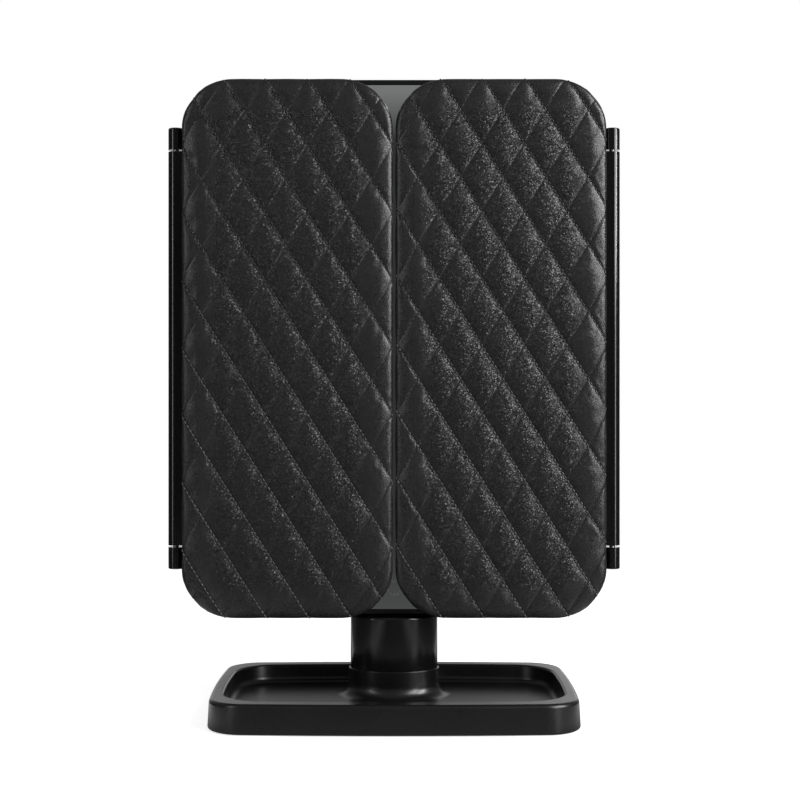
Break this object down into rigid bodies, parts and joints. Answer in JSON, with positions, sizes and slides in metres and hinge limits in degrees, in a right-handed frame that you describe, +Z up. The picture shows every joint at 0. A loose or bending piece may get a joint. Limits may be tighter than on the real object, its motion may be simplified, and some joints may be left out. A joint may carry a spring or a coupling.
{
  "type": "trifold vanity mirror",
  "caption": "Table-top trifold vanity mirror with quilted black leatherette wings, lit centre glass, tilting head, oval neck and a tray base.",
  "frame": {"origin": "on the table, under the middle of the tray", "axes": "+Z up, +X to the user's right, +Y away from the user, wings shut towards the user"},
  "size_m": [0.238, 0.1204, 0.3313],
  "materials": {
    "black_plastic": "satin black",
    "knob_plastic": "satin dark grey",
    "steel": "bright",
    "nylon": "natural",
    "rubber": "matte",
    "mirror": "silvered",
    "milky_plastic": "translucent milky",
    "circuit_board": "white solder mask",
    "lamp": "phosphor",
    "copper_foil": "bright",
    "cell_sleeve": "plain sleeve",
    "leatherette": "fine grain with a slight glitter",
    "foam": "open cell",
    "fibreboard": "plain"
  },
  "bodies": {
    "base": {"tray_base": "black_plastic", "base_cover": "black_plastic", "base_weight": "steel", "rubber_feet": "rubber", "base_cover_screws": "steel", "neck_front_shell": "black_plastic", "neck_rear_shell": "black_plastic", "neck_strap": "steel", "neck_screws": "steel", "neck_shell_screws": "steel"},
    "head": {"battery_cells": "cell_sleeve", "battery_contacts": "steel", "battery_springs": "steel", "centre_back_shell": "black_plastic", "centre_frame": "black_plastic", "centre_mirror_glass": "mirror", "control_board": "circuit_board", "control_board_screws": "steel", "control_chips": "knob_plastic", "frame_screws": "steel", "friction_washers": "nylon", "led_chips": "lamp", "left_hinge_pins": "steel", "left_led_board": "circuit_board", "left_light_diffuser": "milky_plastic", "mirror_backing_plate": "black_plastic", "right_hinge_pins": "steel", "right_led_board": "circuit_board", "right_light_diffuser": "milky_plastic", "shaft_nuts": "steel", "spring_washers": "steel", "switch_body": "knob_plastic", "tilt_shaft": "steel", "touch_sensor_pad": "copper_foil", "usb_board": "circuit_board", "usb_socket": "steel"},
    "left_wing": {"left_wing_shell": "black_plastic", "left_hinge_bushes": "nylon", "left_wing_board": "fibreboard", "left_wing_foam": "foam", "left_leather_cover": "leatherette", "left_wing_mirror": "mirror"},
    "right_wing": {"right_wing_shell": "black_plastic", "right_hinge_bushes": "nylon", "right_wing_board": "fibreboard", "right_wing_foam": "foam", "right_leather_cover": "leatherette", "right_upper_pane": "mirror", "right_lower_pane": "mirror"},
    "battery_lid": {"battery_cover": "black_plastic"},
    "switch": {"switch_knob": "knob_plastic"}
  },
  "joints": [
    {"name": "head_tilt", "type": "hinge", "parent": "base", "child": "head", "pos_m": [0, 0.023, 0.07], "axis": [-1, 0, 0], "range_deg": [-3, 90]},
    {"name": "left_wing_fold", "type": "hinge", "parent": "head", "child": "left_wing", "pos_m": [-0.115, 0.0085, 0.1893], "axis": [0, 0, -1], "range_deg": [0, 180]},
    {"name": "right_wing_fold", "type": "hinge", "parent": "head", "child": "right_wing", "pos_m": [0.115, 0.0085, 0.1893], "axis": [0, 0, 1], "range_deg": [0, 180]},
    {"name": "battery_cover_lift", "type": "slide", "parent": "head", "child": "battery_lid", "axis": [0, 1, 0], "range_m": [0, 0.02]},
    {"name": "switch_slide", "type": "slide", "parent": "head", "child": "switch", "axis": [1, 0, 0], "range_m": [0, 0.0025]}
  ]
}
